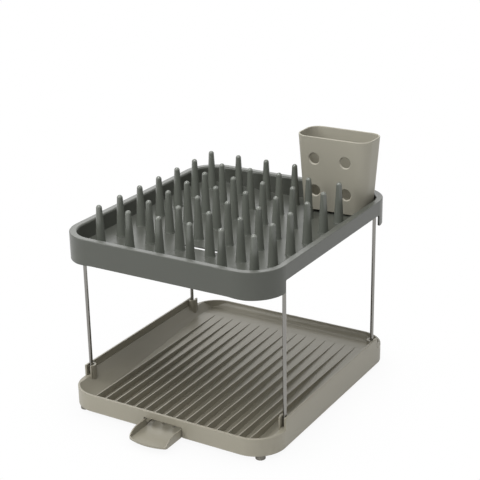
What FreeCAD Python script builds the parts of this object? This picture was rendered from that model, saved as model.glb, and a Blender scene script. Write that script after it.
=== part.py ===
import FreeCAD, Part
import math
import os

# Two-tier dish rack in millimetres. X points right, Y to the back and Z up. All of it is
# drawn about the middle of the drip tray, a little above the table, and moved at the end so
# that the origin is on the table under the middle of the whole rack, the spout included.
V = FreeCAD.Vector

# Wire legs: the wire, its bends, and how far inside the tray's outline the legs stand
WIRE_RADIUS = 2.45
BEND_RADIUS = 12.0
LEG_SIDE_INSET = 5.7
LEG_END_INSET = 50.5
RUNNING_CLEARANCE = 0.1
LOOSE_CLEARANCE = 0.35

# Drip tray: outline, heights and wall thicknesses
TRAY_HALF_X = 155.7
TRAY_HALF_Y = 177.1
TRAY_CORNER = 41.0
TRAY_BOTTOM = 4.0
TRAY_LOW_RIM = 28.3
TRAY_HIGH_RIM = 44.0
TRAY_WALL = 2.8
TRAY_FLOOR = 2.2
TRAY_EDGE_ROUND = 0.9

# Places of the legs, which the tray's sockets and the upper rack share
LEG_X = TRAY_HALF_X - LEG_SIDE_INSET
LEG_Y = TRAY_HALF_Y - LEG_END_INSET

# Fall of the tray floor from the back to the gutter behind the front wall
GUTTER_WIDTH = 25.1
GUTTER_DEPTH = 1.8
GUTTER_STEP_WALL = 1.76
FLOOR_LIFT = 3.0
FLOOR_FALL = 9.7
REAR_BAND = 39.1
REAR_FLOOR_BAND = 13.6
REAR_FLOOR_DROP = 1.1
COVE_SHARE_Y = 0.32
COVE_SHARE_Z = 0.28
GUTTER_Y = GUTTER_WIDTH - TRAY_HALF_Y
GUTTER_Z = TRAY_BOTTOM + FLOOR_LIFT
VALLEY_FRONT_Z = GUTTER_Z + GUTTER_DEPTH
VALLEY_REAR_Y = TRAY_HALF_Y - REAR_BAND
VALLEY_REAR_Z = VALLEY_FRONT_Z + FLOOR_FALL
REAR_FLOOR_Y = TRAY_HALF_Y - REAR_FLOOR_BAND
REAR_FLOOR_Z = VALLEY_REAR_Z - REAR_FLOOR_DROP
REAR_COVE_TOP = TRAY_LOW_RIM - TRAY_EDGE_ROUND

# Sloping flanks along the two sides of the tray
FLANK_WIDTH = 39.7
FLANK_MIDDLE_INSET = 17.2
FLANK_MIDDLE_RISE = 10.9
FLANK_FOOT_DROP = 0.1
FLANK_LEDGE = 1.2
FLANK_LEDGE_DEPTH = 10.0
FLANK_FOOT_X = TRAY_HALF_X - FLANK_WIDTH
FLANK_FOOT_Z = GUTTER_Z - FLANK_FOOT_DROP
FLANK_MIDDLE = (TRAY_HALF_X - FLANK_MIDDLE_INSET, FLANK_FOOT_Z + FLANK_MIDDLE_RISE)
FLANK_LEDGE_Z = TRAY_HIGH_RIM - FLANK_LEDGE_DEPTH

# Ribs standing on the tray floor from flank to flank; their front ends reach over the gutter
RIB_PITCH = 15.74
RIB_THICKNESS = 1.8
RIB_RISE = 0.4
RIB_FRONT_INSET = 11.1
RIB_COUNT = int(2 * FLANK_FOOT_X / RIB_PITCH) + 2
RIB_FRONT_Y = RIB_FRONT_INSET - TRAY_HALF_Y
RIB_TOP = VALLEY_REAR_Z + RIB_RISE

# Leg sockets of the tray
SOCKET_WALL = 4.45
SOCKET_BELOW_RIM = 0.6
SOCKET_LIFT = 6.0
SOCKET_BASE = 4.0
SOCKET_FIN_WALL = 2.65
SOCKET_SLOT_STEP = 0.2
SOCKET_FUNNEL_SPREAD = 1.45
SOCKET_FUNNEL_DEPTH = 3.0
SOCKET_RADIUS = WIRE_RADIUS + SOCKET_WALL
SOCKET_FUNNEL_RADIUS = WIRE_RADIUS + SOCKET_FUNNEL_SPREAD
SOCKET_TOP = TRAY_HIGH_RIM - SOCKET_BELOW_RIM
SOCKET_FOOT = TRAY_BOTTOM + SOCKET_LIFT
SOCKET_FIN_INNER_X = LEG_X - WIRE_RADIUS - SOCKET_FIN_WALL
SOCKET_SLOT_FLOOR = TRAY_LOW_RIM + SOCKET_SLOT_STEP
HIGH_RIM_HALF_Y = LEG_Y + SOCKET_RADIUS
LEG_BOTTOM = SOCKET_FOOT + SOCKET_BASE

# Rubber feet under the tray corners, down to the table
FOOT_RADIUS = 6.5
FOOT_HEIGHT = 6.5
FOOT_EDGE_INSET = 7.5
FOOT_ANGLE = 52.0
FOOT_BOSS_WALL = 0.9
FOOT_BOSS_SUNK = 0.4
FOOT_EDGE_ROUND = 0.6
FOOT_REACH = TRAY_CORNER - FOOT_EDGE_INSET
FOOT_X = TRAY_HALF_X - TRAY_CORNER + FOOT_REACH * math.cos(math.radians(FOOT_ANGLE))
FOOT_Y = TRAY_HALF_Y - TRAY_CORNER + FOOT_REACH * math.sin(math.radians(FOOT_ANGLE))
FOOT_BOSS_RADIUS = FOOT_RADIUS + FOOT_BOSS_WALL
FOOT_BOSS_TOP = REAR_FLOOR_Z - FOOT_BOSS_SUNK
TABLE_Z = TRAY_BOTTOM - FOOT_HEIGHT

# Drain spout: a scoop that slides in under the tray floor
SPOUT_HALF_X = 28.5
SPOUT_WALL = 1.5
SPOUT_FLOOR = 1.8
SPOUT_HEIGHT = 11.7
SPOUT_LIP_HEIGHT = 2.4
SPOUT_SIDE_LENGTH = 16.5
SPOUT_NOSE_LENGTH = 35.9
SPOUT_LIP_CORNER_LENGTH = 32.3
SPOUT_LENGTH = 40.9
SPOUT_CORNER_WIDTH = 2.0
SPOUT_CORNER_DEPTH = 3.6
SPOUT_CORNER_BEND = (0.5, 2.3)
SPOUT_IN_WALL = 2.6
SPOUT_TRAVEL = 22.0
SPOUT_EAR = 3.3
SPOUT_EAR_LENGTH = 6.0
SPOUT_SIDE_GAP = 1.0
SPOUT_TOP_GAP = 2.3
SPOUT_END_GAP = 2.0
SPOUT_UNDER_GAP = 0.4
SPOUT_BOTTOM = TRAY_BOTTOM + SPOUT_UNDER_GAP
SPOUT_SIDE_TOP = SPOUT_BOTTOM + SPOUT_HEIGHT
SPOUT_LIP_TOP = SPOUT_BOTTOM + SPOUT_LIP_HEIGHT
SPOUT_SIDE_REAR_Y = SPOUT_IN_WALL - TRAY_HALF_Y
SPOUT_SIDE_FRONT_Y = -(TRAY_HALF_Y + SPOUT_SIDE_LENGTH)
SPOUT_NOSE_Y = -(TRAY_HALF_Y + SPOUT_NOSE_LENGTH)
SPOUT_LIP_CORNER_Y = -(TRAY_HALF_Y + SPOUT_LIP_CORNER_LENGTH)
SPOUT_LIP_Y = -(TRAY_HALF_Y + SPOUT_LENGTH)
SPOUT_EAR_HALF_X = SPOUT_HALF_X + SPOUT_EAR

# Guide of the spout under the tray
GUIDE_LENGTH = 29.1
GUIDE_EAR_GAP = 0.7
GUIDE_WALL = 2.5
GUIDE_LIP_REACH = 4.5
GUIDE_LIP = 1.6
WELL_RISE = 1.0
GUIDE_STOP_Y = GUIDE_LENGTH - TRAY_HALF_Y
GUIDE_OUTER_X = SPOUT_EAR_HALF_X + GUIDE_EAR_GAP + GUIDE_WALL
GUIDE_LIP_X = SPOUT_HALF_X - GUIDE_LIP_REACH

# Upper rack: walls, and heights counted down from the top of its rim
RACK_TOP = 248.0
RACK_END_STEP = 0.5
RACK_CORNER = 46.0
RACK_RIM_ROOF = 2.6
RACK_OUTER_WALL = 2.4
RACK_INNER_WALL = 2.2
RACK_RIM_OUTER_ROUND = 1.0
RACK_RIM_INNER_ROUND = 3.0
RACK_SIDE_DEPTH = 19.7
SKIRT_DEPTH = 35.8
SKIRT_MIDDLE_RISE = 1.5
SKIRT_CORNER_WIDTH = 55.2
SKIRT_EASE = 24.0
SKIRT_LEG_GAP = 2.45
SKIRT_ROUND = 2.5
RACK_FLOOR = 2.4
RACK_FLOOR_DEPTH = 22.6
RACK_FLOOR_FALL = 4.8
FLOOR_MIDDLE_HALF_X = 34.0

# Outline and heights of the upper rack, whose rim channel fits over the bars of the legs
CHANNEL_WIDTH = 2 * (WIRE_RADIUS + LOOSE_CLEARANCE)
RACK_HALF_X = LEG_X + CHANNEL_WIDTH / 2 + RACK_OUTER_WALL
RACK_HALF_Y = TRAY_HALF_Y + RACK_END_STEP
RACK_RIM_WIDTH = RACK_OUTER_WALL + CHANNEL_WIDTH + RACK_INNER_WALL
RACK_INSIDE_X = RACK_HALF_X - RACK_RIM_WIDTH
RACK_INSIDE_Y = RACK_HALF_Y - RACK_RIM_WIDTH
BAR_Z = RACK_TOP - RACK_RIM_ROOF - CHANNEL_WIDTH / 2
SIDE_BOTTOM = RACK_TOP - RACK_SIDE_DEPTH
SKIRT_BOTTOM = RACK_TOP - SKIRT_DEPTH
SKIRT_MIDDLE_BOTTOM = SKIRT_BOTTOM + SKIRT_MIDDLE_RISE
SKIRT_MIDDLE_HALF_X = RACK_HALF_X - SKIRT_CORNER_WIDTH
SKIRT_HALF_Y = LEG_Y + WIRE_RADIUS + SKIRT_LEG_GAP
FLOOR_SIDE_Z = RACK_TOP - RACK_FLOOR_DEPTH
FLOOR_MIDDLE_Z = FLOOR_SIDE_Z - RACK_FLOOR_FALL

# Prongs of the upper rack, as many each way as its floor has room for
PRONG_PITCH_X = 45.7
PRONG_PITCH_Y = 45.1
PRONG_TIP_RISE = 32.6
PRONG_TIP_RADIUS = 3.75
PRONG_BASE_RADIUS = 7.0
PRONG_MARGIN = 20.0
PRONG_COLUMNS = int(2 * (RACK_INSIDE_X - PRONG_MARGIN) / PRONG_PITCH_X) + 1
PRONG_ROWS = int(2 * (RACK_INSIDE_Y - PRONG_MARGIN) / PRONG_PITCH_Y) + 1
PRONG_TIP_Z = RACK_TOP + PRONG_TIP_RISE

# Drain slot in the floor of the upper rack, between the second and third row from the front
SLOT_HALF_LENGTH = 26.5
SLOT_WIDTH = 9.0
SLOT_SHIFT = 4.85
SLOT_ROW = (PRONG_ROWS - 1) / 2 - 1.5
SLOT_Y = -(SLOT_ROW * PRONG_PITCH_Y + SLOT_SHIFT)

# Pot in the rear right corner
POT_TOP_HALF = (54.8, 27.7)
POT_SIDE_GAP = 0.2
POT_REAR_GAP = 2.1
POT_LIFT = 1.0
POT_HEIGHT = 105.4
POT_TAPER = 7.2
POT_CORNER = 18.3
POT_CORNER_TAPER = 5.0
POT_WALL = 2.2
POT_RIM_ROUND = 0.9
POT_HOLE_RADIUS = 7.4
POT_HOLE_BEVEL = 1.4
POT_HOLE_COLUMNS = (-24.7, 21.8)
POT_HOLE_ROWS = (28.1, 74.2)
POT_FOOT_RADIUS = 4.0
POT_FOOT_SPREAD = (34.0, 11.0)
POT_DRAIN_RADIUS = 3.0
POT_DRAIN_COLUMNS = (-30.0, -10.0, 10.0, 30.0)
POT_DRAIN_ROWS = (-8.0, 8.0)
POT_X = RACK_INSIDE_X - POT_SIDE_GAP - POT_TOP_HALF[0]
POT_Y = RACK_INSIDE_Y - POT_REAR_GAP - POT_TOP_HALF[1]
POT_BOTTOM = FLOOR_SIDE_Z + POT_LIFT
POT_TOP = POT_BOTTOM + POT_HEIGHT

# Reach of cutting tools past the faces they cut, and the step that tells two faces apart
OVERSHOOT = 5.0
FAR = 400.0
TINY = 0.01


def block(low, high):
    """Box between two opposite corners."""
    size = [b - a for a, b in zip(low, high)]
    return Part.makeBox(size[0], size[1], size[2], V(*low))


def mirrored(shape, across_x, across_y):
    """Copy of a shape that stands on the positive side, moved to the wanted quarter."""
    result = shape.copy()
    if across_x < 0:
        result = result.mirror(V(0, 0, 0), V(1, 0, 0))
    if across_y < 0:
        result = result.mirror(V(0, 0, 0), V(0, 1, 0))
    return result


def rounded_outline(half_x, half_y, radius, height, middle=(0.0, 0.0)):
    """Closed wire: a rectangle with rounded corners at one height."""
    arcs = []
    for side_x, side_y, start in ((1, 1, 0), (-1, 1, 90), (-1, -1, 180), (1, -1, 270)):
        centre_x = middle[0] + side_x * (half_x - radius)
        centre_y = middle[1] + side_y * (half_y - radius)
        points = []
        for step in (0, 45, 90):
            angle = math.radians(start + step)
            x = centre_x + radius * math.cos(angle)
            y = centre_y + radius * math.sin(angle)
            points.append(V(x, y, height))
        arcs.append(points)
    edges = []
    for index, points in enumerate(arcs):
        following = arcs[(index + 1) % len(arcs)]
        edges.append(Part.Arc(*points).toShape())
        edges.append(Part.LineSegment(points[2], following[0]).toShape())
    return Part.Wire(edges)


def rounded_block(half_x, half_y, radius, low, high, middle=(0.0, 0.0)):
    """Upright block with a rounded rectangular outline."""
    face = Part.Face(rounded_outline(half_x, half_y, radius, low, middle))
    return face.extrude(V(0, 0, high - low))


def profile_block(axis, path, low, high):
    """Solid with a flat profile, reaching from low to high along the named axis.

    A step of the path is a point, or a pair of points for an arc through the first one.
    """
    def place(point):
        if axis == "x":
            return V(low, point[0], point[1])
        if axis == "y":
            return V(point[0], low, point[1])
        return V(point[0], point[1], low)

    edges = []
    here = path[0]
    for step in list(path[1:]) + [path[0]]:
        if isinstance(step[0], tuple):
            end = step[1]
            edges.append(Part.Arc(place(here), place(step[0]), place(end)).toShape())
        else:
            end = step
            edges.append(Part.LineSegment(place(here), place(end)).toShape())
        here = end
    length = high - low
    along = {"x": V(length, 0, 0), "y": V(0, length, 0), "z": V(0, 0, length)}
    return Part.Face(Part.Wire(edges)).extrude(along[axis])


def united(shapes):
    """One solid from touching or crossing solids."""
    return shapes[0].fuse(shapes[1:]).removeSplitter()


def edges_where(shape, wanted):
    """Edges whose middle point passes a test."""
    found = []
    for edge in shape.Edges:
        first, last = edge.ParameterRange
        if wanted(edge.valueAt((first + last) / 2)):
            found.append(edge)
    return found


def leg_frame():
    """Wire frame of the right side: two uprights joined by a bar under the rack's rim."""
    bend_y = LEG_Y - BEND_RADIUS
    bend_z = BAR_Z - BEND_RADIUS
    reach = BEND_RADIUS * math.sin(math.radians(45))
    front_foot = V(LEG_X, -LEG_Y, LEG_BOTTOM)
    front_top = V(LEG_X, -LEG_Y, bend_z)
    front_turn = V(LEG_X, -bend_y - reach, bend_z + reach)
    front_bar = V(LEG_X, -bend_y, BAR_Z)
    rear_bar = V(LEG_X, bend_y, BAR_Z)
    rear_turn = V(LEG_X, bend_y + reach, bend_z + reach)
    rear_top = V(LEG_X, LEG_Y, bend_z)
    rear_foot = V(LEG_X, LEG_Y, LEG_BOTTOM)
    path = Part.Wire([
        Part.LineSegment(front_foot, front_top).toShape(),
        Part.Arc(front_top, front_turn, front_bar).toShape(),
        Part.LineSegment(front_bar, rear_bar).toShape(),
        Part.Arc(rear_bar, rear_turn, rear_top).toShape(),
        Part.LineSegment(rear_top, rear_foot).toShape(),
    ])
    section = Part.Wire([Part.makeCircle(WIRE_RADIUS, front_foot, V(0, 0, 1))])
    return path.makePipeShell([section], True, False)


def tray_floor_path(drop):
    """Line of the tray floor from front to back, lowered by the floor's thickness."""
    inner_y = TRAY_HALF_Y - TRAY_WALL
    rise = REAR_COVE_TOP - REAR_FLOOR_Z
    step_y = GUTTER_Y + GUTTER_STEP_WALL * drop / TRAY_FLOOR
    cove_middle = (inner_y - rise * COVE_SHARE_Y, REAR_FLOOR_Z + rise * COVE_SHARE_Z - drop)
    return [
        (-inner_y, GUTTER_Z - drop),
        (step_y, GUTTER_Z - drop),
        (step_y, VALLEY_FRONT_Z - drop),
        (VALLEY_REAR_Y, VALLEY_REAR_Z - drop),
        (REAR_FLOOR_Y, REAR_FLOOR_Z - drop),
        (cove_middle, (inner_y, REAR_COVE_TOP - drop)),
    ]


def tray_shell():
    """Tray without its sockets, ribs, feet bosses and spout guide."""
    inner_x = TRAY_HALF_X - TRAY_WALL
    inner_y = TRAY_HALF_Y - TRAY_WALL
    inner_corner = TRAY_CORNER - TRAY_WALL
    body = rounded_block(TRAY_HALF_X, TRAY_HALF_Y, TRAY_CORNER, TRAY_BOTTOM, TRAY_HIGH_RIM)
    for side in (-1, 1):
        low = (-FAR, min(side * HIGH_RIM_HALF_Y, side * FAR), TRAY_LOW_RIM)
        high = (FAR, max(side * HIGH_RIM_HALF_Y, side * FAR), FAR)
        body = body.cut(block(low, high))

    ledge_x = inner_x - FLANK_LEDGE
    left_middle = (-FLANK_MIDDLE[0], FLANK_MIDDLE[1])
    above_flanks = profile_block("y", [
        (-inner_x, FAR),
        (-inner_x, FLANK_LEDGE_Z),
        (-ledge_x, FLANK_LEDGE_Z),
        (left_middle, (-FLANK_FOOT_X, FLANK_FOOT_Z)),
        (-FLANK_FOOT_X, 0.0),
        (FLANK_FOOT_X, 0.0),
        (FLANK_FOOT_X, FLANK_FOOT_Z),
        (FLANK_MIDDLE, (ledge_x, FLANK_LEDGE_Z)),
        (inner_x, FLANK_LEDGE_Z),
        (inner_x, FAR),
    ], -FAR, FAR)
    floor_top = tray_floor_path(0.0)
    above_floor = profile_block("x", [(-inner_y, FAR)] + floor_top + [(inner_y, FAR)], -FAR, FAR)
    inside = rounded_block(inner_x, inner_y, inner_corner, -OVERSHOOT, FAR)
    basin = inside.common(above_flanks).common(above_floor)

    floor_under = tray_floor_path(TRAY_FLOOR)
    below_floor = profile_block(
        "x", [(-inner_y, -OVERSHOOT)] + floor_under + [(inner_y, -OVERSHOOT)], -FAR, FAR)
    slant = TRAY_FLOOR * math.sin(math.radians(45))
    under_middle = (FLANK_MIDDLE[0] + slant, FLANK_MIDDLE[1] - slant)
    below_flank = profile_block("y", [
        (FLANK_FOOT_X, -OVERSHOOT),
        (FLANK_FOOT_X, FLANK_FOOT_Z - TRAY_FLOOR),
        (under_middle, (inner_x, FLANK_LEDGE_Z - TRAY_FLOOR)),
        (inner_x, -OVERSHOOT),
    ], -FAR, FAR)
    hollow = united([below_floor, below_flank, mirrored(below_flank, -1, 1)])
    under_rim = rounded_block(inner_x, inner_y, inner_corner, -OVERSHOOT,
                              TRAY_LOW_RIM - TRAY_FLOOR)
    return body.cut(basin).cut(under_rim.common(hollow))


def leg_socket():
    """Boss of the tray that holds one leg, at the right rear, before its hole is cut."""
    boss = Part.makeCylinder(SOCKET_RADIUS, SOCKET_TOP - SOCKET_FOOT, V(LEG_X, LEG_Y, SOCKET_FOOT))
    fins = block((SOCKET_FIN_INNER_X, LEG_Y, SOCKET_FOOT),
                 (TRAY_HALF_X, HIGH_RIM_HALF_Y, SOCKET_TOP))
    beyond = block((TRAY_HALF_X, -FAR, -FAR), (FAR, FAR, FAR))
    return boss.fuse(fins).cut(beyond)


def leg_hole():
    """Space that one leg socket leaves for its wire, at the right rear."""
    bore = Part.makeCylinder(WIRE_RADIUS + RUNNING_CLEARANCE, FAR, V(LEG_X, LEG_Y, LEG_BOTTOM))
    slot_half = WIRE_RADIUS + LOOSE_CLEARANCE
    wide = Part.makeCylinder(slot_half, FAR, V(LEG_X, LEG_Y, SOCKET_SLOT_FLOOR))
    slot = block((LEG_X - slot_half, LEG_Y, SOCKET_SLOT_FLOOR),
                 (LEG_X + slot_half, HIGH_RIM_HALF_Y + OVERSHOOT, FAR))
    funnel_foot = V(LEG_X, LEG_Y, SOCKET_TOP - SOCKET_FUNNEL_DEPTH)
    funnel = Part.makeCone(slot_half, SOCKET_FUNNEL_RADIUS, SOCKET_FUNNEL_DEPTH, funnel_foot)
    return united([bore, wide, slot, funnel])


def tray_ribs():
    """Thin ribs with level tops that stand on the sloping tray floor."""
    ribs = []
    half = RIB_THICKNESS / 2
    sunk = TRAY_FLOOR / 2
    chamfer = RIB_THICKNESS
    for index in range(RIB_COUNT):
        x = (index - (RIB_COUNT - 1) / 2) * RIB_PITCH
        ribs.append(profile_block("x", [
            (RIB_FRONT_Y, GUTTER_Z - sunk),
            (RIB_FRONT_Y, RIB_TOP - chamfer),
            (RIB_FRONT_Y + chamfer, RIB_TOP),
            (VALLEY_REAR_Y, RIB_TOP),
            (VALLEY_REAR_Y, VALLEY_REAR_Z - sunk),
            (GUTTER_Y, VALLEY_FRONT_Z - sunk),
            (GUTTER_Y, GUTTER_Z - sunk),
        ], x - half, x + half))
    return ribs


def spout_guide():
    """Rails and lips under the tray that carry the spout, both sides."""
    front_y = -(TRAY_HALF_Y - TRAY_WALL)
    rear_y = GUIDE_STOP_Y + SPOUT_EAR_LENGTH + SPOUT_TRAVEL + SPOUT_END_GAP
    channel_x = SPOUT_HALF_X + SPOUT_SIDE_GAP
    ear_x = SPOUT_EAR_HALF_X + GUIDE_EAR_GAP
    low = SPOUT_BOTTOM - GUIDE_LIP
    step_y = GUTTER_Y + GUTTER_STEP_WALL
    pieces = []
    for side in (-1, 1):
        spans = (
            (channel_x, GUIDE_OUTER_X, front_y, step_y, GUTTER_Z - TRAY_FLOOR / 2),
            (channel_x, GUIDE_OUTER_X, step_y, GUIDE_STOP_Y, VALLEY_FRONT_Z - TRAY_FLOOR / 4),
            (ear_x, GUIDE_OUTER_X, GUIDE_STOP_Y, rear_y, VALLEY_FRONT_Z - TRAY_FLOOR / 4),
            (GUIDE_LIP_X, GUIDE_OUTER_X, front_y, rear_y, SPOUT_BOTTOM),
        )
        for inner, outer, near, far, top in spans:
            xs = sorted((side * inner, side * outer))
            pieces.append(block((xs[0], near, low), (xs[1], far, top)))
    return pieces


def drip_tray():
    """Lower tray with its sockets, ribs, feet bosses and the guide of the spout."""
    shell = tray_shell()
    rim_heights = (TRAY_LOW_RIM, TRAY_HIGH_RIM)

    def outer_rim(point):
        on_rim = min(abs(point.z - height) for height in rim_heights) < TINY
        inner_x = TRAY_HALF_X - TRAY_WALL / 2
        inner_y = TRAY_HALF_Y - TRAY_WALL / 2
        corner = abs(point.x) > inner_x - TRAY_CORNER and abs(point.y) > inner_y - TRAY_CORNER
        corner_x = abs(point.x) - (TRAY_HALF_X - TRAY_CORNER)
        corner_y = abs(point.y) - (TRAY_HALF_Y - TRAY_CORNER)
        on_arc = corner and math.hypot(corner_x, corner_y) > TRAY_CORNER - TRAY_WALL / 2
        return on_rim and (abs(point.x) > inner_x or abs(point.y) > inner_y or on_arc)

    shell = shell.makeFillet(TRAY_EDGE_ROUND, edges_where(shell, outer_rim))
    pieces = [shell] + tray_ribs() + spout_guide()
    for side_x in (-1, 1):
        for side_y in (-1, 1):
            pieces.append(mirrored(leg_socket(), side_x, side_y))
            top = GUTTER_Z - TRAY_FLOOR / 2 if side_y < 0 else FOOT_BOSS_TOP
            centre = V(side_x * FOOT_X, side_y * FOOT_Y, TRAY_BOTTOM)
            pieces.append(Part.makeCylinder(FOOT_BOSS_RADIUS, top - TRAY_BOTTOM, centre))
    tray = united(pieces)
    for side_x in (-1, 1):
        for side_y in (-1, 1):
            tray = tray.cut(mirrored(leg_hole(), side_x, side_y))

    channel_x = SPOUT_HALF_X + SPOUT_SIDE_GAP
    front_y = -(TRAY_HALF_Y + OVERSHOOT)
    under_valley = VALLEY_FRONT_Z - TRAY_FLOOR
    mouth = block((-channel_x, front_y, SPOUT_BOTTOM),
                  (channel_x, -(TRAY_HALF_Y - TRAY_WALL), SPOUT_SIDE_TOP + SPOUT_TOP_GAP))
    well = block((-channel_x, front_y, SPOUT_BOTTOM), (channel_x, GUTTER_Y, GUTTER_Z + WELL_RISE))
    under = block((-channel_x, front_y, SPOUT_BOTTOM), (channel_x, GUIDE_STOP_Y, under_valley))
    sill = block((-channel_x, front_y, 0.0),
                 (channel_x, -(TRAY_HALF_Y - TRAY_WALL), SPOUT_BOTTOM))
    between_lips = block((-GUIDE_LIP_X, front_y, 0.0), (GUIDE_LIP_X, GUIDE_STOP_Y, SPOUT_BOTTOM))
    for tool in (mouth, well, under, sill, between_lips):
        tray = tray.cut(tool)
    return tray.removeSplitter()


def rubber_foot():
    """Round foot under the right rear corner of the tray."""
    foot = Part.makeCylinder(FOOT_RADIUS, TRAY_BOTTOM - TABLE_Z, V(FOOT_X, FOOT_Y, TABLE_Z))
    lower = edges_where(foot, lambda point: point.z < TABLE_Z + TINY)
    return foot.makeFillet(FOOT_EDGE_ROUND, lower)


def drain_spout():
    """Scoop with side walls, a bowed lip and a tongue that runs in under the tray."""
    corner_x = SPOUT_HALF_X - SPOUT_CORNER_WIDTH
    corner_y = SPOUT_LIP_CORNER_Y - SPOUT_CORNER_DEPTH
    bend = (SPOUT_HALF_X - SPOUT_CORNER_BEND[0], SPOUT_LIP_CORNER_Y - SPOUT_CORNER_BEND[1])
    plan = [
        (-SPOUT_HALF_X, SPOUT_SIDE_REAR_Y),
        (-SPOUT_HALF_X, SPOUT_LIP_CORNER_Y),
        ((-bend[0], bend[1]), (-corner_x, corner_y)),
        ((0.0, SPOUT_LIP_Y), (corner_x, corner_y)),
        (bend, (SPOUT_HALF_X, SPOUT_LIP_CORNER_Y)),
        (SPOUT_HALF_X, SPOUT_SIDE_REAR_Y),
    ]
    scoop = profile_block("z", plan, SPOUT_BOTTOM, SPOUT_SIDE_TOP)
    length = SPOUT_SIDE_FRONT_Y - SPOUT_NOSE_Y
    height = SPOUT_SIDE_TOP - SPOUT_LIP_TOP
    radius = (length ** 2 + height ** 2) / (2 * height)
    turn = math.asin(length / radius) / 2
    shoulder = (SPOUT_SIDE_FRONT_Y - radius * math.sin(turn),
                SPOUT_SIDE_TOP - radius * (1 - math.cos(turn)))
    beyond = SPOUT_LIP_Y - OVERSHOOT
    side_view = profile_block("x", [
        (SPOUT_SIDE_REAR_Y, SPOUT_BOTTOM),
        (SPOUT_SIDE_REAR_Y, SPOUT_SIDE_TOP),
        (SPOUT_SIDE_FRONT_Y, SPOUT_SIDE_TOP),
        (shoulder, (SPOUT_NOSE_Y, SPOUT_LIP_TOP)),
        (beyond, SPOUT_LIP_TOP),
        (beyond, SPOUT_BOTTOM),
    ], -FAR, FAR)
    scoop = scoop.common(side_view)
    inner_x = SPOUT_HALF_X - SPOUT_WALL
    inner_corner_y = corner_y + SPOUT_WALL
    floor_top = SPOUT_BOTTOM + SPOUT_FLOOR
    hollow = profile_block("z", [
        (-inner_x, SPOUT_SIDE_REAR_Y + OVERSHOOT),
        (-inner_x, inner_corner_y),
        ((0.0, SPOUT_LIP_Y + SPOUT_WALL), (inner_x, inner_corner_y)),
        (inner_x, SPOUT_SIDE_REAR_Y + OVERSHOOT),
    ], floor_top, FAR)
    scoop = scoop.cut(hollow)
    tongue_rear = GUIDE_STOP_Y + SPOUT_EAR_LENGTH
    tongue = block((-SPOUT_HALF_X, SPOUT_SIDE_REAR_Y, SPOUT_BOTTOM),
                   (SPOUT_HALF_X, tongue_rear, floor_top))
    ears = block((-SPOUT_EAR_HALF_X, GUIDE_STOP_Y, SPOUT_BOTTOM),
                 (SPOUT_EAR_HALF_X, tongue_rear, floor_top))
    return united([scoop, tongue, ears])


def rack_floor_path(drop):
    """Line of the rack floor from left to right, lowered by the given drop."""
    return [
        (-FAR, FLOOR_SIDE_Z - drop),
        (-RACK_INSIDE_X, FLOOR_SIDE_Z - drop),
        (-FLOOR_MIDDLE_HALF_X, FLOOR_MIDDLE_Z - drop),
        (FLOOR_MIDDLE_HALF_X, FLOOR_MIDDLE_Z - drop),
        (RACK_INSIDE_X, FLOOR_SIDE_Z - drop),
        (FAR, FLOOR_SIDE_Z - drop),
    ]


def below_rack_floor(drop=0.0):
    """Everything under the floor surface of the upper rack."""
    path = rack_floor_path(drop)
    lowest = FLOOR_MIDDLE_Z - FAR
    return profile_block("y", [(path[0][0], lowest)] + path + [(path[-1][0], lowest)], -FAR, FAR)


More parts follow.
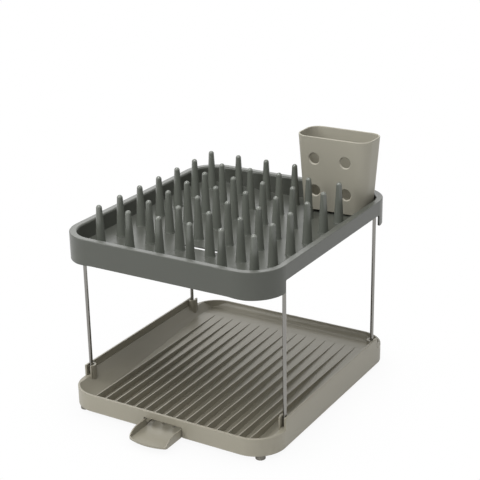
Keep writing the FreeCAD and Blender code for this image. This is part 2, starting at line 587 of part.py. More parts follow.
def prong_tray():
    """Upper rack: rim with a channel under it, skirts, inner wall and floor."""
    inner = RACK_RIM_WIDTH
    body = rounded_block(RACK_HALF_X, RACK_HALF_Y, RACK_CORNER, SKIRT_BOTTOM, RACK_TOP)
    inside = rounded_block(RACK_INSIDE_X, RACK_INSIDE_Y, RACK_CORNER - inner, -FAR, FAR)
    ring = body.cut(inside)

    def near_outer(point):
        half = inner / 2
        out_x = abs(point.x) > RACK_HALF_X - half
        out_y = abs(point.y) > RACK_HALF_Y - half
        corner_x = abs(point.x) - (RACK_HALF_X - RACK_CORNER)
        corner_y = abs(point.y) - (RACK_HALF_Y - RACK_CORNER)
        in_corner = corner_x > 0 and corner_y > 0
        on_arc = in_corner and math.hypot(corner_x, corner_y) > RACK_CORNER - half
        return out_x or out_y or on_arc

    def on_top(point):
        return abs(point.z - RACK_TOP) < TINY

    outer_edges = edges_where(ring, lambda point: on_top(point) and near_outer(point))
    ring = ring.makeFillet(RACK_RIM_OUTER_ROUND, outer_edges)
    inner_edges = edges_where(ring, lambda point: on_top(point) and not near_outer(point))
    ring = ring.makeFillet(RACK_RIM_INNER_ROUND, inner_edges)

    wall = RACK_OUTER_WALL
    web = inner - RACK_INNER_WALL
    channel = rounded_block(RACK_HALF_X - wall, RACK_HALF_Y - wall, RACK_CORNER - wall,
                            -FAR, RACK_TOP - RACK_RIM_ROOF)
    core = rounded_block(RACK_HALF_X - web, RACK_HALF_Y - web, RACK_CORNER - web, -FAR, FAR)
    ring = ring.cut(channel.cut(core))

    edge_y = SKIRT_HALF_Y
    turn = SKIRT_ROUND
    reach = turn * (1 - math.sin(math.radians(45)))
    lower_y = edge_y + turn
    upper_y = edge_y - turn
    low_z = SKIRT_BOTTOM + turn
    high_z = SIDE_BOTTOM - turn
    gap = profile_block("x", [
        (-lower_y, 0.0),
        (-lower_y, SKIRT_BOTTOM),
        ((-edge_y - reach, SKIRT_BOTTOM + reach), (-edge_y, low_z)),
        (-edge_y, high_z),
        ((-edge_y + reach, SIDE_BOTTOM - reach), (-upper_y, SIDE_BOTTOM)),
        (upper_y, SIDE_BOTTOM),
        ((edge_y - reach, SIDE_BOTTOM - reach), (edge_y, high_z)),
        (edge_y, low_z),
        ((edge_y + reach, SKIRT_BOTTOM + reach), (lower_y, SKIRT_BOTTOM)),
        (lower_y, 0.0),
    ], -FAR, FAR)
    ring = ring.cut(gap.cut(core))
    eased_x = SKIRT_MIDDLE_HALF_X + SKIRT_EASE
    rise = profile_block("y", [
        (-eased_x, 0.0),
        (-eased_x, SKIRT_BOTTOM),
        (-SKIRT_MIDDLE_HALF_X, SKIRT_MIDDLE_BOTTOM),
        (SKIRT_MIDDLE_HALF_X, SKIRT_MIDDLE_BOTTOM),
        (eased_x, SKIRT_BOTTOM),
        (eased_x, 0.0),
    ], -FAR, FAR)
    ring = ring.cut(rise)

    floor = core.common(below_rack_floor()).cut(below_rack_floor(RACK_FLOOR))
    trimmed_wall = ring.cut(core.common(below_rack_floor(RACK_FLOOR)))
    rack = united([trimmed_wall, floor])
    slot = rounded_block(SLOT_HALF_LENGTH, SLOT_WIDTH / 2, SLOT_WIDTH / 2 - TINY,
                         0, RACK_TOP - OVERSHOOT, (0.0, SLOT_Y))
    return rack.cut(slot)


def prong():
    """Tapered prong with a domed tip on the Z axis, before its foot is trimmed."""
    foot_z = FLOOR_MIDDLE_Z - OVERSHOOT
    dome_z = PRONG_TIP_Z - PRONG_TIP_RADIUS
    cone = Part.makeCone(PRONG_BASE_RADIUS, PRONG_TIP_RADIUS, dome_z - foot_z, V(0, 0, foot_z))
    dome = Part.makeSphere(PRONG_TIP_RADIUS, V(0, 0, dome_z))
    return cone.fuse(dome.cut(block((-FAR, -FAR, -FAR), (FAR, FAR, dome_z))))


def in_pot_place(x, y):
    """Whether a prong there would stand in the pot's way."""
    near_x = abs(x - POT_X) < POT_TOP_HALF[0] + PRONG_BASE_RADIUS
    near_y = abs(y - POT_Y) < POT_TOP_HALF[1] + PRONG_BASE_RADIUS
    return near_x and near_y


def prong_row(row):
    """One row of prongs from left to right, standing on the rack floor."""
    y = (row - (PRONG_ROWS - 1) / 2) * PRONG_PITCH_Y
    ground = below_rack_floor()
    prongs = []
    for column in range(PRONG_COLUMNS):
        x = (column - (PRONG_COLUMNS - 1) / 2) * PRONG_PITCH_X
        if in_pot_place(x, y):
            continue
        piece = prong().removeSplitter()
        piece.translate(V(x, y, 0))
        prongs.append(piece.cut(ground))
    return Part.makeCompound(prongs)


def pot_shape(inset, low, high):
    """Tapered solid of the pot between two heights, made smaller all round by the inset."""
    wires = []
    for z in (low, high):
        share = (POT_TOP - z) / POT_HEIGHT
        half_x = POT_TOP_HALF[0] - POT_TAPER * share - inset
        half_y = POT_TOP_HALF[1] - POT_TAPER * share - inset
        radius = POT_CORNER - POT_CORNER_TAPER * share - inset
        wires.append(rounded_outline(half_x, half_y, radius, z, (POT_X, POT_Y)))
    return Part.makeLoft(wires, True, True)


def pot():
    """Open pot with four round holes in front, drain holes and short feet."""
    body = pot_shape(0.0, POT_BOTTOM, POT_TOP)
    hollow = pot_shape(POT_WALL, POT_BOTTOM + POT_WALL, POT_TOP + OVERSHOOT)
    body = body.cut(hollow)
    body = body.makeFillet(POT_RIM_ROUND, edges_where(body, lambda p: p.z > POT_TOP - TINY))
    # The holes are square to the leaning front wall
    inward = V(0, POT_HEIGHT, POT_TAPER).normalize()
    for column in POT_HOLE_COLUMNS:
        for height in POT_HOLE_ROWS:
            x = POT_X + column
            z = POT_BOTTOM + height
            share = 1 - height / POT_HEIGHT
            face_y = POT_Y - POT_TOP_HALF[1] + POT_TAPER * share
            start = V(x, face_y, z) - inward * OVERSHOOT
            bore = Part.makeCylinder(POT_HOLE_RADIUS, 2 * OVERSHOOT, start, inward)
            bevel_depth = OVERSHOOT + POT_HOLE_BEVEL
            wide = POT_HOLE_RADIUS + bevel_depth
            bevel = Part.makeCone(wide, POT_HOLE_RADIUS, bevel_depth, start, inward)
            body = body.cut(bore).cut(bevel)
    for x in POT_DRAIN_COLUMNS:
        for y in POT_DRAIN_ROWS:
            foot = V(POT_X + x, POT_Y + y, POT_BOTTOM - OVERSHOOT)
            body = body.cut(Part.makeCylinder(POT_DRAIN_RADIUS, 2 * OVERSHOOT, foot))
    feet = []
    for side_x in (-1, 1):
        for side_y in (-1, 1):
            x = POT_X + side_x * POT_FOOT_SPREAD[0]
            y = POT_Y + side_y * POT_FOOT_SPREAD[1]
            base = V(x, y, FLOOR_MIDDLE_Z - OVERSHOOT)
            height = POT_BOTTOM + POT_WALL / 2 - base.z
            foot = Part.makeCylinder(POT_FOOT_RADIUS, height, base)
            feet.append(foot.cut(below_rack_floor()))
    return united([body] + feet)


os.makedirs("parts", exist_ok=True)

nodes = {
    "drip_tray": drip_tray(),
    "drain_spout": drain_spout(),
    "leg_frame_right": leg_frame(),
    "leg_frame_left": mirrored(leg_frame(), -1, 1),
    "prong_tray": prong_tray(),
    "cutlery_pot": pot(),
}
for name_x, side_x in (("left", -1), ("right", 1)):
    for name_y, side_y in (("front", -1), ("rear", 1)):
        nodes["foot_" + name_y + "_" + name_x] = mirrored(rubber_foot(), side_x, side_y)
for row in range(PRONG_ROWS):
    nodes["prong_row_" + str(row + 1)] = prong_row(row)

spout_overhang = -(SPOUT_LIP_Y + RACK_HALF_Y) / 2
for name, shape in nodes.items():
    shape.translate(V(0, spout_overhang, -TABLE_Z))
    shape.exportStep("parts/" + name + ".step")
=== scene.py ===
"""Looks of a two-tier dish rack: moulded plastics, wire, prongs and a small studio."""

import math

import bpy
from bpy.props import FloatProperty, FloatVectorProperty, PointerProperty
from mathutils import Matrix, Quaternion, Vector


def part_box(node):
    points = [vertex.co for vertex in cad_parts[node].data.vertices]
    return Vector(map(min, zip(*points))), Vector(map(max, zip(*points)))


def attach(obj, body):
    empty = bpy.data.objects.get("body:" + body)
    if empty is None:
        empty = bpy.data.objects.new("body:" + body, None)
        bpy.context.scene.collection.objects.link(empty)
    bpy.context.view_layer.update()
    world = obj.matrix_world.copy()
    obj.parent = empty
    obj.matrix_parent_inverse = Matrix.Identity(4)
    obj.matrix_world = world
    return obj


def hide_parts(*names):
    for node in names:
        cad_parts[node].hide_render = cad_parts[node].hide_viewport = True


bl_info = {
    "name": "Two-tier dish rack",
    "version": (1, 0, 0),
    "blender": (4, 5, 0),
    "location": "3D View > Sidebar > Dish rack",
    "description": "Dresses the dish rack's frame with materials, prongs and a studio",
    "category": "Object",
}

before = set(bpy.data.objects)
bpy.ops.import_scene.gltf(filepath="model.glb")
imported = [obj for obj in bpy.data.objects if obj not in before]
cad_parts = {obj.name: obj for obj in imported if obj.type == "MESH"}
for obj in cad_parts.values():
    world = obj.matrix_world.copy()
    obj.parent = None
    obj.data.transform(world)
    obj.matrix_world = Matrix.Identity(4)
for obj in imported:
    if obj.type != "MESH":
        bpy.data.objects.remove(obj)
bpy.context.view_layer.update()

MM = 0.001
LEG_NODES = ("leg_frame_left", "leg_frame_right")
FOOT_NODES = ("foot_front_left", "foot_front_right", "foot_rear_left", "foot_rear_right")

# Finishes of the moulded pieces: roughness, strength of the grain, strength of the mirror
FINISHES = {
    "tray_plastic": (0.42, 0.12, 0.5),
    "spout_plastic": (0.42, 0.12, 0.5),
    "rack_plastic": (0.33, 0.10, 0.48),
    "prong_plastic": (0.2, 0.04, 0.6),
    "pot_plastic": (0.48, 0.12, 0.35),
    "rubber_feet": (0.8, 0.3, 0.5),
}
TONE_CHANGE = 0.04
CLOUDS_PER_METRE = 14.0
GRAINS_PER_METRE = 1800.0
GRAIN_DEPTH = 0.1 * MM

# Wire: range of roughness, and marks per metre across and along the uprights
WIRE_ROUGHNESS = (0.16, 0.30)
WIRE_MARKS_ACROSS = 900.0
WIRE_MARKS_ALONG = 12.0

# Prongs: rows, prongs of a full row, and the sides and steps of each
PRONG_ROWS = 7
PRONGS_IN_ROW = 6
PRONG_SIDES = 36
PRONG_STEPS = 56

# Height over which a prong's fillet fades, and radius of the flat that closes its tip
FLARE_FADE = 0.8 * MM
TIP_FLAT = 0.02 * MM

# Floor of the upper rack: flat in the middle, then rising to both sides
FLAT_HALF = 34.0 * MM
FLOOR_HALF = 145.0 * MM
FLOOR_RISE = 4.8 * MM

# Camera: where it stands, where it looks, and its turn about that line in degrees
CAMERA_PLACE = (0.81581, -1.31147, 0.79947)
CAMERA_AIM = Vector((0.00677, 0.03091, 0.20835))
CAMERA_ROLL = -1.01
SENSOR_WIDTH = 36.0

# White floor: half its width, and how near the rack has to be to darken it
STAGE_HALF = 30.0
SHADOW_REACH = 0.12

# Lamps of the studio: name, degrees round from the front, degrees up, metres away, width
LAMP_AIM = Vector((0.0, 0.0, 0.15))
LAMPS = (
    ("overhead", -20.0, 82.0, 1.9, 0.8),
    ("high_front", 5.0, 62.0, 1.9, 0.8),
    ("front_left", -38.0, 32.0, 2.0, 1.1),
    ("right", 85.0, 42.0, 2.0, 1.2),
    ("rear", 215.0, 35.0, 2.2, 1.6),
)


# Settings that a user would change

class RackSizes(bpy.types.PropertyGroup):
    """Sizes of the pieces that are made here."""

    prong_base: FloatProperty(
        name="Prong base radius", description="Radius of a prong where its cone meets the floor",
        default=0.0068, unit="LENGTH")
    prong_tip: FloatProperty(
        name="Prong tip radius", description="Radius of a prong's domed tip",
        default=0.0036, unit="LENGTH")
    prong_flare: FloatProperty(
        name="Prong flare", description="Width of the fillet at a prong's base",
        default=0.0005, unit="LENGTH")
    prong_pitch: FloatProperty(
        name="Prong pitch", description="Distance between neighbouring prongs of a row",
        default=0.0457, unit="LENGTH")
    edge_softness: FloatProperty(
        name="Edge softness", description="Radius of the softened edges of moulded pieces",
        default=0.0006, unit="LENGTH")


class RackColours(bpy.types.PropertyGroup):
    """Colours of the pieces, as linear values."""

    tray: FloatVectorProperty(
        name="Tray", description="Taupe of the drip tray",
        default=(0.291, 0.271, 0.214), subtype="COLOR", size=3)
    # The spout is the tray's own plastic; its darker colour is painted shade.
    spout: FloatVectorProperty(
        name="Spout", description="Taupe of the spout, a little darker than the tray",
        default=(0.262, 0.244, 0.193), subtype="COLOR", size=3)
    pot: FloatVectorProperty(
        name="Pot", description="Taupe of the pot",
        default=(0.345, 0.327, 0.268), subtype="COLOR", size=3)
    rack: FloatVectorProperty(
        name="Rack", description="Dark grey of the upper rack",
        default=(0.074, 0.078, 0.066), subtype="COLOR", size=3)
    # The prongs are the rack's own plastic; their lighter colour is painted light, standing in for
    # the reflections on the glossy prongs.
    prongs: FloatVectorProperty(
        name="Prongs", description="Dark grey of the prongs, a little lighter than the rack",
        default=(0.137, 0.146, 0.126), subtype="COLOR", size=3)
    wire: FloatVectorProperty(
        name="Wire", description="Steel of the leg frames",
        default=(0.27, 0.262, 0.245), subtype="COLOR", size=3)
    rubber: FloatVectorProperty(
        name="Rubber", description="Rubber of the feet",
        default=(0.19, 0.18, 0.155), subtype="COLOR", size=3)


class StageSettings(bpy.types.PropertyGroup):
    """Floor, lamps and camera."""

    floor: FloatVectorProperty(
        name="Floor", description="Colour of the floor and backdrop",
        default=(0.9, 0.9, 0.9), subtype="COLOR", size=3)
    shadow: FloatProperty(
        name="Shadow", description="How much of the object's shadow shows on the white floor",
        default=0.08, min=0.0, max=1.0)
    world: FloatProperty(
        name="World light", description="Strength of the even light from all round",
        default=0.33, min=0.0)
    overhead: FloatProperty(
        name="Overhead lamp", description="Power of the lamp above",
        default=14.6, min=0.0, subtype="POWER")
    high_front: FloatProperty(
        name="High front lamp", description="Power of the lamp above the front",
        default=12.5, min=0.0, subtype="POWER")
    front_left: FloatProperty(
        name="Front left lamp", description="Power of the lamp at the front left",
        default=15.5, min=0.0, subtype="POWER")
    right: FloatProperty(
        name="Right lamp", description="Power of the lamp at the right",
        default=5.0, min=0.0, subtype="POWER")
    rear: FloatProperty(
        name="Rear lamp", description="Power of the lamp behind, which the glossy tops mirror",
        default=8.5, min=0.0, subtype="POWER")
    lens: FloatProperty(
        name="Lens", description="Focal length of the camera in millimetres",
        default=93.66, min=10.0)


# Shared shader groups

def add_socket(group, name, way, kind, value=None):
    """New named socket of a node group, with its starting value."""
    socket = group.interface.new_socket(name=name, in_out=way, socket_type=kind)
    if value is not None:
        socket.default_value = value
    return socket


def moulded_skin_group():
    """Group for moulded plastic: slight tone changes, fine grain and softened edges."""
    group = bpy.data.node_groups.new("moulded_skin", "ShaderNodeTree")
    add_socket(group, "Colour", "INPUT", "NodeSocketColor", (0.3, 0.3, 0.3, 1.0))
    add_socket(group, "Tone change", "INPUT", "NodeSocketFloat", TONE_CHANGE)
    add_socket(group, "Roughness", "INPUT", "NodeSocketFloat", 0.4)
    add_socket(group, "Grain", "INPUT", "NodeSocketFloat", 0.1)
    add_socket(group, "Edge radius", "INPUT", "NodeSocketFloat", 0.0006)
    add_socket(group, "Colour", "OUTPUT", "NodeSocketColor")
    add_socket(group, "Roughness", "OUTPUT", "NodeSocketFloat")
    add_socket(group, "Normal", "OUTPUT", "NodeSocketVector")
    nodes, links = group.nodes, group.links
    inputs = nodes.new("NodeGroupInput")
    outputs = nodes.new("NodeGroupOutput")
    place = nodes.new("ShaderNodeTexCoord")

    cloud = nodes.new("ShaderNodeTexNoise")
    cloud.inputs["Scale"].default_value = CLOUDS_PER_METRE
    cloud.inputs["Detail"].default_value = 2.0
    links.new(place.outputs["Object"], cloud.inputs["Vector"])
    centred = nodes.new("ShaderNodeMath")
    centred.operation = "SUBTRACT"
    centred.inputs[1].default_value = 0.5
    links.new(cloud.outputs["Fac"], centred.inputs[0])
    share = nodes.new("ShaderNodeMath")
    share.operation = "MULTIPLY_ADD"
    share.inputs[2].default_value = 1.0
    links.new(centred.outputs[0], share.inputs[0])
    links.new(inputs.outputs["Tone change"], share.inputs[1])
    tint = nodes.new("ShaderNodeVectorMath")
    tint.operation = "SCALE"
    links.new(inputs.outputs["Colour"], tint.inputs[0])
    links.new(share.outputs[0], tint.inputs["Scale"])
    links.new(tint.outputs["Vector"], outputs.inputs["Colour"])

    rough = nodes.new("ShaderNodeMath")
    rough.operation = "MULTIPLY"
    links.new(inputs.outputs["Roughness"], rough.inputs[0])
    links.new(share.outputs[0], rough.inputs[1])
    links.new(rough.outputs[0], outputs.inputs["Roughness"])

    grain = nodes.new("ShaderNodeTexNoise")
    grain.inputs["Scale"].default_value = GRAINS_PER_METRE
    grain.inputs["Detail"].default_value = 1.0
    links.new(place.outputs["Object"], grain.inputs["Vector"])
    soft = nodes.new("ShaderNodeBevel")
    soft.samples = 6
    links.new(inputs.outputs["Edge radius"], soft.inputs["Radius"])
    bump = nodes.new("ShaderNodeBump")
    bump.inputs["Distance"].default_value = GRAIN_DEPTH
    links.new(inputs.outputs["Grain"], bump.inputs["Strength"])
    links.new(grain.outputs["Fac"], bump.inputs["Height"])
    links.new(soft.outputs["Normal"], bump.inputs["Normal"])
    links.new(bump.outputs["Normal"], outputs.inputs["Normal"])
    return group


def new_material(name, colour, roughness, metallic=0.0):
    """Plain material with a Principled shader; returns it and the shader."""
    material = bpy.data.materials.new(name)
    material.use_nodes = True
    shader = material.node_tree.nodes["Principled BSDF"]
    shader.inputs["Base Color"].default_value = (*colour, 1.0)
    shader.inputs["Roughness"].default_value = roughness
    shader.inputs["Metallic"].default_value = metallic
    material.diffuse_color = (*colour, 1.0)
    return material, shader


def moulded(name, colour):
    """Material of a moulded piece, with its own finish and the shared skin."""
    roughness, grain, mirror = FINISHES[name]
    material, shader = new_material(name, colour, roughness)
    shader.inputs["Specular IOR Level"].default_value = mirror
    tree = material.node_tree
    group = tree.nodes.new("ShaderNodeGroup")
    group.node_tree = bpy.data.node_groups.get("moulded_skin") or moulded_skin_group()
    group.inputs["Colour"].default_value = (*colour, 1.0)
    group.inputs["Tone change"].default_value = TONE_CHANGE
    group.inputs["Roughness"].default_value = roughness
    group.inputs["Grain"].default_value = grain
    group.inputs["Edge radius"].default_value = bpy.context.scene.rack_sizes.edge_softness
    tree.links.new(group.outputs["Colour"], shader.inputs["Base Color"])
    tree.links.new(group.outputs["Roughness"], shader.inputs["Roughness"])
    tree.links.new(group.outputs["Normal"], shader.inputs["Normal"])
    return material


def drawn_wire(name, colour):
    """Steel wire with faint marks along its uprights."""
    material, shader = new_material(name, colour, sum(WIRE_ROUGHNESS) / 2, 1.0)
    tree = material.node_tree
    place = tree.nodes.new("ShaderNodeTexCoord")
    stretch = tree.nodes.new("ShaderNodeMapping")
    stretch.inputs["Scale"].default_value = (
        WIRE_MARKS_ACROSS, WIRE_MARKS_ACROSS, WIRE_MARKS_ALONG)
    marks = tree.nodes.new("ShaderNodeTexNoise")
    marks.inputs["Scale"].default_value = 1.0
    marks.inputs["Detail"].default_value = 2.0
    rough = tree.nodes.new("ShaderNodeMapRange")
    rough.inputs["To Min"].default_value, rough.inputs["To Max"].default_value = WIRE_ROUGHNESS
    tree.links.new(place.outputs["Object"], stretch.inputs["Vector"])
    tree.links.new(stretch.outputs["Vector"], marks.inputs["Vector"])
    tree.links.new(marks.outputs["Fac"], rough.inputs["Value"])
    tree.links.new(rough.outputs["Result"], shader.inputs["Roughness"])
    return material


def seen_by_camera(tree):
    """Socket that is 1 for rays that show the background: direct, mirrored or through."""
    path = tree.nodes.new("ShaderNodeLightPath")
    direct_or_glossy = tree.nodes.new("ShaderNodeMath")
    direct_or_glossy.operation = "MAXIMUM"
    any_of_them = tree.nodes.new("ShaderNodeMath")
    any_of_them.operation = "MAXIMUM"
    tree.links.new(path.outputs["Is Camera Ray"], direct_or_glossy.inputs[0])
    tree.links.new(path.outputs["Is Glossy Ray"], direct_or_glossy.inputs[1])
    tree.links.new(direct_or_glossy.outputs[0], any_of_them.inputs[0])
    tree.links.new(path.outputs["Is Transmission Ray"], any_of_them.inputs[1])
    return any_of_them.outputs[0]


def floor_material(colour, shadow):
    """Pale floor that shows as white, darkened a little by the object's shadow."""
    material, shader = new_material("floor", colour, 0.9)
    shader.inputs["Specular IOR Level"].default_value = 0.0
    tree = material.node_tree
    output = tree.nodes["Material Output"]
    nearness = tree.nodes.new("ShaderNodeAmbientOcclusion")
    nearness.samples = 16
    nearness.inputs["Distance"].default_value = SHADOW_REACH
    level = tree.nodes.new("ShaderNodeMapRange")
    level.inputs["To Min"].default_value = 1.0 - shadow
    level.inputs["To Max"].default_value = 1.0
    white = tree.nodes.new("ShaderNodeEmission")
    mix = tree.nodes.new("ShaderNodeMixShader")
    tree.links.new(nearness.outputs["AO"], level.inputs["Value"])
    tree.links.new(level.outputs["Result"], white.inputs["Strength"])
    tree.links.new(seen_by_camera(tree), mix.inputs["Fac"])
    tree.links.new(shader.outputs[0], mix.inputs[1])
    tree.links.new(white.outputs[0], mix.inputs[2])
    tree.links.new(mix.outputs[0], output.inputs["Surface"])
    return material


def studio_world(strength):
    """World that lights evenly and shows as white."""
    world = bpy.data.worlds.new("studio")
    world.use_nodes = True
    tree = world.node_tree
    background = tree.nodes["Background"]
    background.inputs["Color"].default_value = (1, 1, 1, 1)
    level = tree.nodes.new("ShaderNodeMapRange")
    level.inputs["To Min"].default_value = strength
    level.inputs["To Max"].default_value = 1.0
    tree.links.new(seen_by_camera(tree), level.inputs["Value"])
    tree.links.new(level.outputs["Result"], background.inputs["Strength"])
    return world


def dress(node, material):
    """Give one CAD node its material."""
    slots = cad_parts[node].material_slots
    for slot in slots:
        slot.material = material
    if not slots:
        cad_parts[node].data.materials.append(material)


# Prongs as a tree of geometry nodes

def link_math(tree, operation, first, second=0.0, third=None):
    """Output of a new math node of the tree; each operand is a socket or a number."""
    node = tree.nodes.new("ShaderNodeMath")
    node.operation = operation
    for index, operand in enumerate((first, second, third)):
        if operand is None:
            continue
        if isinstance(operand, (int, float)):
            node.inputs[index].default_value = operand
        else:
            tree.links.new(operand, node.inputs[index])
    return node.outputs[0]


def prong_row_tree():
    """Tree that makes one row of prongs on a floor that rises to both sides."""
    tree = bpy.data.node_groups.new("prong_row", "GeometryNodeTree")
    add_socket(tree, "Geometry", "OUTPUT", "NodeSocketGeometry")
    names = ("Base radius", "Tip radius", "Flare", "Floor", "Tip height", "Pitch", "First",
             "Row", "Flat half", "Rise per metre")
    for name in names:
        add_socket(tree, name, "INPUT", "NodeSocketFloat", 0.0)
    add_socket(tree, "Count", "INPUT", "NodeSocketInt", PRONGS_IN_ROW)
    add_socket(tree, "Material", "INPUT", "NodeSocketMaterial")
    nodes, links = tree.nodes, tree.links
    given = nodes.new("NodeGroupInput").outputs
    result = nodes.new("NodeGroupOutput")

    height = link_math(tree, "SUBTRACT", given["Tip height"], given["Floor"])
    axis = nodes.new("GeometryNodeCurvePrimitiveLine")
    top = nodes.new("ShaderNodeCombineXYZ")
    links.new(height, top.inputs["Z"])
    links.new(top.outputs[0], axis.inputs["End"])
    steps = nodes.new("GeometryNodeResampleCurve")
    steps.inputs["Count"].default_value = PRONG_STEPS
    links.new(axis.outputs[0], steps.inputs["Curve"])
    # Steps lie closer at both ends, where the fillet and the dome are
    factor = nodes.new("GeometryNodeSplineParameter").outputs["Factor"]
    slowed = link_math(tree, "MULTIPLY_ADD", factor, -2.0, 3.0)
    eased = link_math(tree, "MULTIPLY", link_math(tree, "MULTIPLY", factor, factor), slowed)
    level = link_math(tree, "MULTIPLY", eased, height)
    spot = nodes.new("ShaderNodeCombineXYZ")
    links.new(level, spot.inputs["Z"])

    # Radius at each step: cone, fillet at the foot and dome at the tip
    cone = link_math(tree, "SUBTRACT", given["Tip radius"], given["Base radius"])
    cone = link_math(tree, "MULTIPLY_ADD", cone, eased, given["Base radius"])
    fade = link_math(tree, "MULTIPLY", level, -1.0 / FLARE_FADE)
    flare = link_math(tree, "MULTIPLY", given["Flare"], link_math(tree, "EXPONENT", fade))
    wide = link_math(tree, "ADD", cone, flare)
    to_top = link_math(tree, "SUBTRACT", height, level)
    in_dome = link_math(tree, "DIVIDE", to_top, given["Tip radius"])
    in_dome = link_math(tree, "MINIMUM", in_dome, 1.0)
    from_dome = link_math(tree, "SUBTRACT", 1.0, in_dome)
    round_off = link_math(tree, "SUBTRACT", 1.0, link_math(tree, "MULTIPLY", from_dome, from_dome))
    round_off = link_math(tree, "SQRT", link_math(tree, "MAXIMUM", round_off, 0.0))
    radius = link_math(tree, "MAXIMUM", link_math(tree, "MULTIPLY", wide, round_off), TIP_FLAT)

    hold = nodes.new("GeometryNodeCaptureAttribute")
    hold.domain = "POINT"
    hold.capture_items.new("FLOAT", "Radius")
    links.new(steps.outputs[0], hold.inputs["Geometry"])
    links.new(radius, hold.inputs["Radius"])
    move = nodes.new("GeometryNodeSetPosition")
    links.new(hold.outputs["Geometry"], move.inputs["Geometry"])
    links.new(spot.outputs[0], move.inputs["Position"])
    ring = nodes.new("GeometryNodeCurvePrimitiveCircle")
    ring.inputs["Resolution"].default_value = PRONG_SIDES
    ring.inputs["Radius"].default_value = 1.0
    sweep = nodes.new("GeometryNodeCurveToMesh")
    sweep.inputs["Fill Caps"].default_value = True
    links.new(move.outputs[0], sweep.inputs["Curve"])
    links.new(ring.outputs[0], sweep.inputs["Profile Curve"])
    links.new(hold.outputs["Radius"], sweep.inputs["Scale"])
    smooth = nodes.new("GeometryNodeSetShadeSmooth")
    links.new(sweep.outputs[0], smooth.inputs["Geometry"])

    # Copies of the prong, each seated on the floor and squeezed so that all tips are level
    row = nodes.new("GeometryNodeMeshLine")
    links.new(given["Count"], row.inputs["Count"])
    start = nodes.new("ShaderNodeCombineXYZ")
    links.new(given["First"], start.inputs["X"])
    links.new(given["Row"], start.inputs["Y"])
    links.new(given["Floor"], start.inputs["Z"])
    links.new(start.outputs[0], row.inputs["Start Location"])
    step = nodes.new("ShaderNodeCombineXYZ")
    links.new(given["Pitch"], step.inputs["X"])
    links.new(step.outputs[0], row.inputs["Offset"])
    here = nodes.new("GeometryNodeInputPosition")
    parts = nodes.new("ShaderNodeSeparateXYZ")
    links.new(here.outputs[0], parts.inputs[0])
    aside = link_math(tree, "ABSOLUTE", parts.outputs["X"])
    beyond = link_math(tree, "SUBTRACT", aside, given["Flat half"])
    beyond = link_math(tree, "MAXIMUM", beyond, 0.0)
    lift = link_math(tree, "MULTIPLY", beyond, given["Rise per metre"])
    raise_by = nodes.new("ShaderNodeCombineXYZ")
    links.new(lift, raise_by.inputs["Z"])
    seat = nodes.new("GeometryNodeSetPosition")
    links.new(row.outputs[0], seat.inputs["Geometry"])
    links.new(raise_by.outputs[0], seat.inputs["Offset"])
    short = link_math(tree, "SUBTRACT", given["Tip height"], parts.outputs["Z"])
    squeeze = nodes.new("ShaderNodeCombineXYZ")
    squeeze.inputs["X"].default_value = 1.0
    squeeze.inputs["Y"].default_value = 1.0
    links.new(link_math(tree, "DIVIDE", short, height), squeeze.inputs["Z"])
    copies = nodes.new("GeometryNodeInstanceOnPoints")
    links.new(seat.outputs[0], copies.inputs["Points"])
    links.new(smooth.outputs[0], copies.inputs["Instance"])
    links.new(squeeze.outputs[0], copies.inputs["Scale"])
    real = nodes.new("GeometryNodeRealizeInstances")
    links.new(copies.outputs[0], real.inputs[0])
    coat = nodes.new("GeometryNodeSetMaterial")
    links.new(real.outputs[0], coat.inputs["Geometry"])
    links.new(given["Material"], coat.inputs["Material"])
    links.new(coat.outputs[0], result.inputs["Geometry"])
    return tree


def made_by_tree(name, tree, values):
    """Plain mesh object made by a tree of geometry nodes with these input values."""
    maker = bpy.data.objects.new(name + "_maker", bpy.data.meshes.new(name + "_maker"))
    bpy.context.scene.collection.objects.link(maker)
    modifier = maker.modifiers.new("tree", "NODES")
    modifier.node_group = tree
    for item in tree.interface.items_tree:
        if item.item_type == "SOCKET" and item.in_out == "INPUT":
            modifier[item.identifier] = values[item.name]
    depsgraph = bpy.context.evaluated_depsgraph_get()
    depsgraph.update()
    mesh = bpy.data.meshes.new_from_object(maker.evaluated_get(depsgraph))
    bpy.data.objects.remove(maker)
    mesh.name = name
    piece = bpy.data.objects.new(name, mesh)
    bpy.context.scene.collection.objects.link(piece)
    return piece


# Operators: one for each piece or group of like pieces, and one for the stage

class RACK_OT_tray(bpy.types.Operator):
    """Drip tray and its spout in taupe plastic."""

    bl_idname = "rack.tray"
    bl_label = "Drip tray and spout"

    def execute(self, context):
        colours = context.scene.rack_colours
        dress("drip_tray", moulded("tray_plastic", colours.tray))
        # The spout's darker colour is painted shade on the tray's plastic.
        dress("drain_spout", moulded("spout_plastic", colours.spout))
        return {"FINISHED"}


class RACK_OT_upper(bpy.types.Operator):
    """Upper rack in dark grey plastic."""

    bl_idname = "rack.upper"
    bl_label = "Upper rack"

    def execute(self, context):
        dress("prong_tray", moulded("rack_plastic", context.scene.rack_colours.rack))
        return {"FINISHED"}


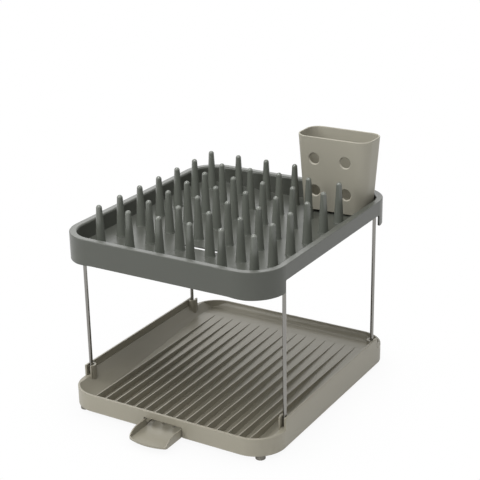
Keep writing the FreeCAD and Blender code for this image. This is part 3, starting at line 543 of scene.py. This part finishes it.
class RACK_OT_prongs(bpy.types.Operator):
    """Rows of tapered prongs with domed tips and filleted feet."""

    bl_idname = "rack.prongs"
    bl_label = "Prongs"

    def execute(self, context):
        sizes = context.scene.rack_sizes
        # The prongs' colour is the rack's plastic painted lighter: painted light for their
        # reflections.
        plastic = moulded("prong_plastic", context.scene.rack_colours.prongs)
        tree = prong_row_tree()
        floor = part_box("prong_row_1")[0].z
        for index in range(1, PRONG_ROWS + 1):
            node = "prong_row_%d" % index
            low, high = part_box(node)
            count = round((high.x - low.x - 2 * sizes.prong_base) / sizes.prong_pitch) + 1
            piece = made_by_tree("prongs_%d" % index, tree, {
                "Base radius": sizes.prong_base,
                "Tip radius": sizes.prong_tip,
                "Flare": sizes.prong_flare,
                "Floor": floor,
                "Tip height": high.z,
                "Pitch": sizes.prong_pitch,
                "First": -(PRONGS_IN_ROW - 1) / 2 * sizes.prong_pitch,
                "Row": (low.y + high.y) / 2,
                "Flat half": FLAT_HALF,
                "Rise per metre": FLOOR_RISE / (FLOOR_HALF - FLAT_HALF),
                "Count": count,
                "Material": plastic,
            })
            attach(piece, "rack")
            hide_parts(node)
        return {"FINISHED"}


class RACK_OT_pot(bpy.types.Operator):
    """Pot of the rear right corner in taupe plastic."""

    bl_idname = "rack.pot"
    bl_label = "Pot"

    def execute(self, context):
        dress("cutlery_pot", moulded("pot_plastic", context.scene.rack_colours.pot))
        return {"FINISHED"}


class RACK_OT_legs(bpy.types.Operator):
    """Leg frames of steel wire."""

    bl_idname = "rack.legs"
    bl_label = "Leg frames"

    def execute(self, context):
        steel = drawn_wire("leg_wire", context.scene.rack_colours.wire)
        for node in LEG_NODES:
            dress(node, steel)
        return {"FINISHED"}


class RACK_OT_feet(bpy.types.Operator):
    """Round rubber feet of the tray."""

    bl_idname = "rack.feet"
    bl_label = "Feet"

    def execute(self, context):
        rubber = moulded("rubber_feet", context.scene.rack_colours.rubber)
        for node in FOOT_NODES:
            dress(node, rubber)
        return {"FINISHED"}


class RACK_OT_stage(bpy.types.Operator):
    """Pale floor, soft lamps, world and camera."""

    bl_idname = "rack.stage"
    bl_label = "Stage"

    def execute(self, context):
        scene = context.scene
        settings = scene.rack_stage
        floor_mesh = bpy.data.meshes.new("floor")
        half = STAGE_HALF
        floor_mesh.from_pydata(
            [(-half, -half, 0), (half, -half, 0), (half, half, 0), (-half, half, 0)],
            [], [(0, 1, 2, 3)])
        floor = bpy.data.objects.new("floor", floor_mesh)
        scene.collection.objects.link(floor)
        floor_mesh.materials.append(floor_material(settings.floor, settings.shadow))
        scene.world = studio_world(settings.world)

        for name, azimuth, elevation, distance, size in LAMPS:
            light = bpy.data.lights.new(name, "AREA")
            light.shape = "DISK"
            light.size = size
            light.energy = getattr(settings, name)
            item = bpy.data.objects.new(name, light)
            scene.collection.objects.link(item)
            turn = math.radians(azimuth)
            lift = math.radians(elevation)
            away = Vector((math.sin(turn) * math.cos(lift), -math.cos(turn) * math.cos(lift),
                           math.sin(lift)))
            item.location = LAMP_AIM + away * distance
            item.rotation_euler = (-away).to_track_quat("-Z", "Y").to_euler()

        camera_data = bpy.data.cameras.new("camera")
        camera_data.lens = settings.lens
        camera_data.sensor_width = SENSOR_WIDTH
        camera = bpy.data.objects.new("camera", camera_data)
        scene.collection.objects.link(camera)
        camera.location = CAMERA_PLACE
        aim = CAMERA_AIM - camera.location
        roll = Quaternion((0, 0, 1), math.radians(CAMERA_ROLL))
        camera.rotation_euler = (aim.to_track_quat("-Z", "Y") @ roll).to_euler()
        scene.camera = camera
        scene.view_settings.view_transform = "Standard"
        return {"FINISHED"}


class RACK_PT_panel(bpy.types.Panel):
    """Lists the settings and the pieces of the dish rack."""

    bl_idname = "RACK_PT_panel"
    bl_label = "Dish rack"
    bl_space_type = "VIEW_3D"
    bl_region_type = "UI"
    bl_category = "Dish rack"

    def draw(self, context):
        scene = context.scene
        for group in (scene.rack_sizes, scene.rack_colours, scene.rack_stage):
            box = self.layout.box()
            for name in group.bl_rna.properties.keys():
                if name not in ("rna_type", "name"):
                    box.prop(group, name)
        for operator in OPERATORS:
            self.layout.operator(operator.bl_idname)


OPERATORS = (
    RACK_OT_tray,
    RACK_OT_upper,
    RACK_OT_prongs,
    RACK_OT_pot,
    RACK_OT_legs,
    RACK_OT_feet,
    RACK_OT_stage,
)
CLASSES = (RackSizes, RackColours, StageSettings, *OPERATORS, RACK_PT_panel)


def register():
    """Make the settings, operators and panel known."""
    for item in CLASSES:
        bpy.utils.register_class(item)
    bpy.types.Scene.rack_sizes = PointerProperty(type=RackSizes)
    bpy.types.Scene.rack_colours = PointerProperty(type=RackColours)
    bpy.types.Scene.rack_stage = PointerProperty(type=StageSettings)


def unregister():
    """Take the settings, operators and panel away again."""
    for name in ("rack_sizes", "rack_colours", "rack_stage"):
        delattr(bpy.types.Scene, name)
    for item in reversed(CLASSES):
        bpy.utils.unregister_class(item)


def main():
    """Build every piece in order."""
    register()
    for name in ("tray", "upper", "prongs", "pot", "legs", "feet", "stage"):
        getattr(bpy.ops.rack, name)()
    bpy.context.view_layer.update()


if __name__ == "__main__":
    main()
